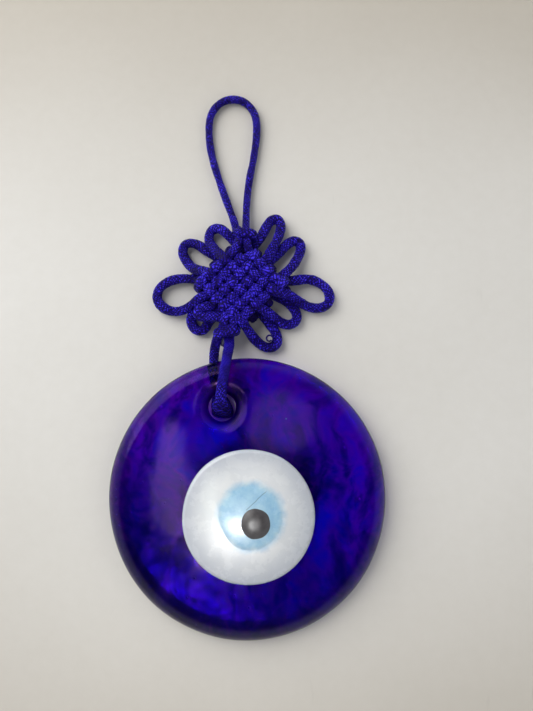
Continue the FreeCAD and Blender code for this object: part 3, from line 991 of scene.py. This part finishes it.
def dark_glass():
    """Near-black glass with a cloudy skin that greys its glare."""
    material, tree = new_material("dark_glass")
    place = local_place(tree, PUPIL["x"], PUPIL["y"])
    mottle = cloud(tree, place, 0.7, 4.0, 0.6)
    colour = ramp(tree, mottle, (0.3, (0.03, 0.027, 0.032)), (0.7, (0.06, 0.054, 0.06)))
    return plain_surface(material, {
        "Base Color": colour, "Roughness": span(tree, mottle, 0.3, 0.7, 0.4, 0.5),
        "Normal": bumped(tree, mottle, 0.2, 0.2), "Coat Weight": 0.4, "Coat Roughness": 0.35})


def bubble_glass():
    """Air trapped in the glass: pale, which paints in the glints that bubbles show, and half clear.
    """
    return plain_surface(new_material("air_bubble")[0], {
        "Base Color": (0.5, 0.5, 0.9, 1), "Roughness": 0.08, "Transmission Weight": 0.5,
        "IOR": 1.3})


def make_glass():
    disc = ring_surface("cobalt_glass_disc", disc_rings(), closed=True)
    dress(disc, "glass_eye", "cobalt_glass", cobalt_glass(), "blue_glass_disc")
    white = ring_surface("opal_white_eye", pebble_rings(
        WHITE["x"], WHITE["y"], WHITE["radius"], WHITE["edge"], WHITE["top"], 6.6, 1.6,
        0.006, 4.0), closed=False)
    dress(white, "glass_eye", "white_glass", eye_glass("white_glass"), "white_glass_eye")
    iris = ring_surface("iris_drop", drop_rings(
        IRIS, white_height, IRIS_FALL, 0.035, 6.0, 0.06), closed=False)
    dress(iris, "glass_eye", "pale_blue_glass", eye_glass("pale_blue_glass"), "pale_blue_iris")
    pupil = ring_surface("pupil_drop", drop_rings(
        PUPIL, iris_height, 3.0, 0.05, 8.0, 0.0), closed=False)
    dress(pupil, "glass_eye", "dark_glass", dark_glass(), "dark_pupil")


def make_bubbles():
    """A sparse scatter of tiny bubbles, most of them low in the disc and near its rim."""
    draw = random.Random(12)
    work = bmesh.new()
    placed = 0
    while placed < BUBBLES:
        r = 43 * math.sqrt(draw.random())
        a = draw.uniform(0, 2 * math.pi)
        x, y = r * math.cos(a), r * math.sin(a)
        size = draw.uniform(0.12, 0.32) * (1.5 if draw.random() < 0.15 else 1)
        depth = draw.uniform(0.4, 1.12)
        clear_of_white = math.hypot(x - WHITE["x"], y - WHITE["y"]) > WHITE["radius"] + 1.5
        clear_of_hole = math.hypot(x - HOLE[0], y - HOLE[1]) > HOLE_RADIUS + HOLE_FLARE + LIP
        if not (clear_of_white and clear_of_hole) or r > 42 or (y > 0 and draw.random() < 0.5):
            continue
        z = 0.5 + (disc_surface_height(x, y) - 1.3) * depth if r < 40 else 2.2
        middle = glass_to_world @ Vector((x * MM, y * MM, z * MM))
        stretch = Matrix.Diagonal((1, draw.uniform(0.8, 1.3), draw.uniform(0.7, 1), 1))
        bmesh.ops.create_icosphere(work, subdivisions=2, radius=size * MM,
                                   matrix=Matrix.Translation(middle) @ stretch)
        placed += 1
    dress(finish_mesh("air_bubbles", work), "glass_eye", "cobalt_glass", bubble_glass())


make_glass()
make_bubbles()


# ---------------------------------------------------------------- the cut, melted cord end

def melted_cord():
    material, tree = new_material("melted_cord")
    place = add(tree, "TexCoord").outputs["Object"]
    lumps = cloud(tree, place, 1500, 3.0, 0.6)
    colour = ramp(tree, lumps, (0.3, (0.002, 0.001, 0.02)), (0.7, (0.008, 0.005, 0.09)))
    return plain_surface(material, {
        "Base Color": colour, "Roughness": span(tree, lumps, 0.3, 0.7, 0.25, 0.55),
        "Normal": bumped(tree, lumps, 0.6, 0.2)})


def make_cord_end():
    """The stub of spare cord, cut short and melted to a dark bead."""
    work = bmesh.new()
    middle = Vector((-8.35, 25.6, 4.5)) * MM
    bmesh.ops.create_icosphere(work, subdivisions=4, radius=1.0)
    for v in work.verts:
        lump = 1 + 0.16 * noise.noise(v.co * 2.1 + Vector((4, 1, 7)))
        v.co = Vector((v.co.x * 0.85, v.co.y * 2.0, v.co.z * 0.85)) * lump * MM
        v.co = middle + Euler((math.radians(12), 0, 0)).to_matrix() @ v.co
    dress(finish_mesh("melted_end", work), "knot", "melted_cord", melted_cord(), "cord_end")


make_cord_end()


# ---------------------------------------------------------------- floor and light

FLOOR = 1.6               # half the width of the table top, in metres
LAMP_HEIGHT = 0.85        # of the lamps that face straight down, in metres


def make_floor():
    """A pale, slightly scuffed table top, with painted light falloff: darker away from the ornament.
    """
    mesh = bpy.data.meshes.new("floor")
    corners = [(-FLOOR, -FLOOR, 0), (FLOOR, -FLOOR, 0), (FLOOR, FLOOR, 0), (-FLOOR, FLOOR, 0)]
    mesh.from_pydata(corners, [], [(0, 1, 2, 3)])
    obj = linked("floor", mesh)
    material, tree = new_material("floor")
    place = add(tree, "TexCoord").outputs["Object"]
    broad = cloud(tree, place, 9.0, 3.0, 0.5)
    fine = cloud(tree, place, 240.0, 4.0, 0.6)
    tone = calc(tree, "MULTIPLY_ADD", fine, 0.25, calc(tree, "MULTIPLY", broad, 0.75))
    base = ramp(tree, tone, (0.3, (0.73, 0.715, 0.68)), (0.7, (0.80, 0.79, 0.765)))
    smear = add(tree, "Mapping", {"Vector": place})
    smear.inputs["Rotation"].default_value = (0, 0, 0.6)
    smear.inputs["Scale"].default_value = (95, 24, 1)
    scuff = span(tree, cloud(tree, smear.outputs[0], 1.0, 3.0, 0.65), 0.68, 0.76)
    colour = mixed(tree, calc(tree, "MULTIPLY", scuff, 0.25), base, (0.42, 0.41, 0.40))
    # Painted light falloff: the floor's colour is darker away from a point beside the ornament.
    off = add(tree, "VectorMath", {0: place, 1: (0.35, 1, 1), 2: (0, -0.022, 0)},
              operation="MULTIPLY_ADD").outputs[0]
    away = add(tree, "VectorMath", {0: off}, operation="LENGTH").outputs["Value"]
    dim = span(tree, away, 0.03, 0.16)
    colour = mixed(tree, dim, colour, (0.71, 0.67, 0.61), "MULTIPLY")
    obj.data.materials.append(plain_surface(material, {
        "Base Color": colour, "Roughness": 0.5, "Normal": bumped(tree, fine, 0.08, 0.5),
        "Specular IOR Level": 0.3}))


def make_lamp(name, place, size, power, colour=(1, 1, 1), towards=None):
    """An oval lamp that faces towards a point, or straight down and seen in reflections only."""
    data = bpy.data.lights.new(name, "AREA")
    data.shape = "ELLIPSE"
    data.size, data.size_y = size
    data.energy = power
    data.color = colour
    lamp = linked(name, data)
    lamp.location = place
    if towards is not None:
        way = Vector(towards) - Vector(place)
        lamp.rotation_euler = way.to_track_quat("-Z", "Y").to_euler()
    lamp.visible_diffuse = towards is not None


def make_light():
    """A large key from the upper left. The others show in reflections only: two pale panes on
    the blue glass and the glare beside the pupil."""
    make_lamp("key", (-0.75, 0.6, 0.75), (1.25, 1.25), 13.5, (1.0, 0.985, 0.95), (0, 0, 0))
    make_lamp("pane_left", (-0.29, -0.13, LAMP_HEIGHT), (0.12, 0.42), 0.56, (0.95, 1.0, 0.85))
    make_lamp("pane_right", (0.08, 0.06, LAMP_HEIGHT), (0.26, 0.2), 0.22, (1.0, 0.95, 0.85))
    make_lamp("highlight", (-0.125, -0.32, LAMP_HEIGHT), (0.18, 0.12), 6.5)


def make_world():
    """A studio that is dim overhead and brighter towards the horizon."""
    world = bpy.data.worlds.new("studio")
    world.use_nodes = True
    tree = world.node_tree
    tree.nodes.clear()
    way = add(tree, "TexCoord").outputs["Generated"]
    colour = ramp(tree, part_of(tree, way, 2), (0.0, (0.62, 0.62, 0.61)),
                  (0.5, (0.55, 0.55, 0.55)), (0.84, (0.012, 0.012, 0.014)))
    background = add(tree, "Background", {"Color": colour, "Strength": 1.7})
    out = tree.nodes.new("ShaderNodeOutputWorld")
    tree.links.new(background.outputs[0], out.inputs["Surface"])
    bpy.context.scene.world = world
    bpy.context.scene.view_settings.view_transform = "Standard"


make_floor()
make_light()
make_world()
